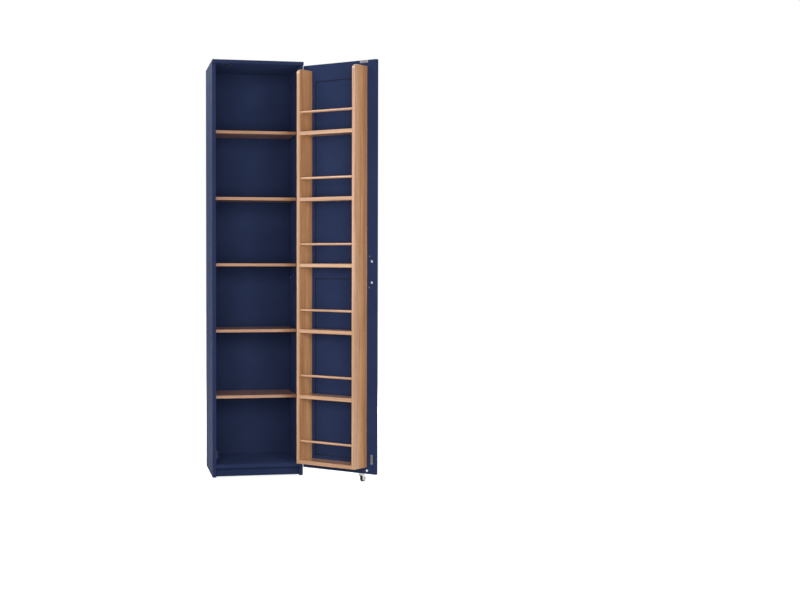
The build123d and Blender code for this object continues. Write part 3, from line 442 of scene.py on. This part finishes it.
def join_loops(mesh, first, second):
    """Faces between two closed loops of as many vertices each."""
    for corner in range(len(first)):
        following = (corner + 1) % len(first)
        mesh.faces.new((first[corner], first[following], second[following], second[corner]))


def shadow_line_piece(name, mesh, body):
    """A scene piece for a dark line of painted shadow, riding on a body."""
    bmesh.ops.recalc_face_normals(mesh, faces=mesh.faces)
    data = bpy.data.meshes.new(name)
    mesh.to_mesh(data)
    mesh.free()
    piece = bpy.data.objects.new(name, data)
    bpy.context.scene.collection.objects.link(piece)
    data.materials.append(joint_shadow)
    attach(piece, body)


def lowest(name, axis):
    """Where a piece of the door begins along one of the door's axes."""
    return min(vertex.co.dot(axis) for vertex in frame["nodes"][name].data.vertices)


def highest(name, axis):
    """Where a piece of the door ends along one of the door's axes."""
    return max(vertex.co.dot(axis) for vertex in frame["nodes"][name].data.vertices)


def panel_shadow_line(half, side):
    """The painted shadow round one half's panel: a dark three-sided strip in the recess corner by the frame."""
    left = highest(f"door_{half}_stile_hinge", ACROSS) - LINE_BURIED
    right = lowest(f"door_{half}_stile_free", ACROSS) + LINE_BURIED
    low = highest(f"door_{half}_rail_bottom", UPWARDS) - LINE_BURIED
    high = lowest(f"door_{half}_rail_top", UPWARDS) + LINE_BURIED
    if side == "front":
        foot = highest(f"door_{half}_panel", THROUGH) - LINE_BURIED
        top = foot + LINE_BURIED + PANEL_LINE_HEIGHT
    else:
        foot = lowest(f"door_{half}_panel", THROUGH) + LINE_BURIED
        top = foot - LINE_BURIED - PANEL_LINE_HEIGHT
    mesh = bmesh.new()
    loops = []
    for inset, depth in ((0, foot), (0, top), (PANEL_LINE_WIDTH, foot)):
        corners = (
            (left + inset, low + inset),
            (right - inset, low + inset),
            (right - inset, high - inset),
            (left + inset, high - inset),
        )
        loops.append([mesh.verts.new(x * ACROSS + depth * THROUGH + z * UPWARDS) for x, z in corners])
    for first, second in ((0, 1), (1, 2), (2, 0)):
        join_loops(mesh, loops[first], loops[second])
    shadow_line_piece(f"panel_shadow_line_{half}_{side}", mesh, "door")


def seam_shadow_line(name, outward):
    """A dark strip of painted shade in the seam between one side's two boards, whose outer faces look outward
    along X.
    """
    low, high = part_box(f"side_{name}_upper")
    outer = high.x if outward > 0 else low.x
    shallow = outer - outward * SEAM_LINE_SUNK
    deep = shallow - outward * SEAM_LINE_THICKNESS
    bottom = low.z - SEAM_LINE_WIDTH / 2
    top = low.z + SEAM_LINE_WIDTH / 2
    mesh = bmesh.new()
    rings = []
    for y in (low.y + SEAM_LINE_END_GAP, high.y - SEAM_LINE_END_GAP):
        section = ((shallow, bottom), (shallow, top), (deep, top), (deep, bottom))
        rings.append([mesh.verts.new((x, y, z)) for x, z in section])
    join_loops(mesh, rings[0], rings[1])
    mesh.faces.new(rings[0])
    mesh.faces.new(rings[1])
    shadow_line_piece(f"seam_shadow_line_{name}", mesh, "carcass")


# Painted shadow in the door's panel recesses and in the side seams
for half in ("lower", "upper"):
    for side in ("front", "rear"):
        panel_shadow_line(half, side)
seam_shadow_line("left", -1)
seam_shadow_line("right", 1)


def seen_rays(tree):
    """1 for the rays that show the surround: those of the camera, of reflections and through glass."""
    path = add(tree, "LightPath").outputs
    pair = {0: path["Is Camera Ray"], 1: path["Is Glossy Ray"]}
    seen = add(tree, "Math", pair, operation="MAXIMUM").outputs[0]
    pair = {0: seen, 1: path["Is Transmission Ray"]}
    return add(tree, "Math", pair, operation="MAXIMUM").outputs[0]


def surround():
    """A world that looks white and lights the cabinet only a little."""
    world = bpy.data.worlds.new("studio")
    bpy.context.scene.world = world
    world.use_nodes = True
    tree = world.node_tree
    background = tree.nodes["Background"]
    strength = remap(tree, seen_rays(tree), 0, 1, WORLD_STRENGTH, 1)
    link(tree, background, Color=WHITE, Strength=strength)


def pale_floor():
    """A plain pale floor that keeps the cabinet's shadow and fades into the white surround."""
    bpy.ops.mesh.primitive_plane_add(size=FLOOR_SIZE, location=(0, 0, 0))
    floor = bpy.context.object
    floor.name = "floor"
    material, tree, shader = new_material("pale_floor")
    tone = blend(tree, noise(tree, 0.6, detail=3), colour("DADAD9"), colour("D4D4D3"))
    place = add(tree, "TexCoord").outputs["Object"]
    away = add(tree, "VectorMath", {0: place}, operation="LENGTH").outputs["Value"]
    share = remap(tree, away, NEAR_DISTANCE, FAR_DISTANCE, NEAR_GLOW, FAR_GLOW)
    glow = add(tree, "Math", {0: seen_rays(tree), 1: share}, operation="MULTIPLY").outputs[0]
    link(tree, shader, Base_Color=tone, Roughness=0.9, Emission_Color=WHITE, Emission_Strength=glow)
    floor.data.materials.append(material)


def lights():
    """A large soft light from the front, two from the left and two from behind."""
    middle = (cad_low + cad_high) / 2
    for name, (place, width, height, power) in LAMPS.items():
        lamp = bpy.data.lights.new(name, "AREA")
        lamp.shape = "RECTANGLE"
        lamp.size = width
        lamp.size_y = height
        lamp.energy = power
        light = bpy.data.objects.new(name, lamp)
        light.location = place
        light.rotation_euler = (middle - Vector(place)).to_track_quat("-Z", "Y").to_euler()
        light.visible_glossy = name not in LAMPS_WITHOUT_GLARE
        bpy.context.scene.collection.objects.link(light)


def camera():
    """The camera at the photograph's viewing angle."""
    data = bpy.data.cameras.new("camera")
    data.lens = CAMERA_LENS
    place = bpy.data.objects.new("camera", data)
    place.location = CAMERA_PLACE
    place.rotation_euler = (radians(90 + CAMERA_PITCH), radians(-CAMERA_ROLL), radians(-CAMERA_YAW))
    bpy.context.scene.collection.objects.link(place)
    bpy.context.scene.camera = place


bpy.context.scene.view_settings.view_transform = "Standard"
surround()
pale_floor()
lights()
camera()
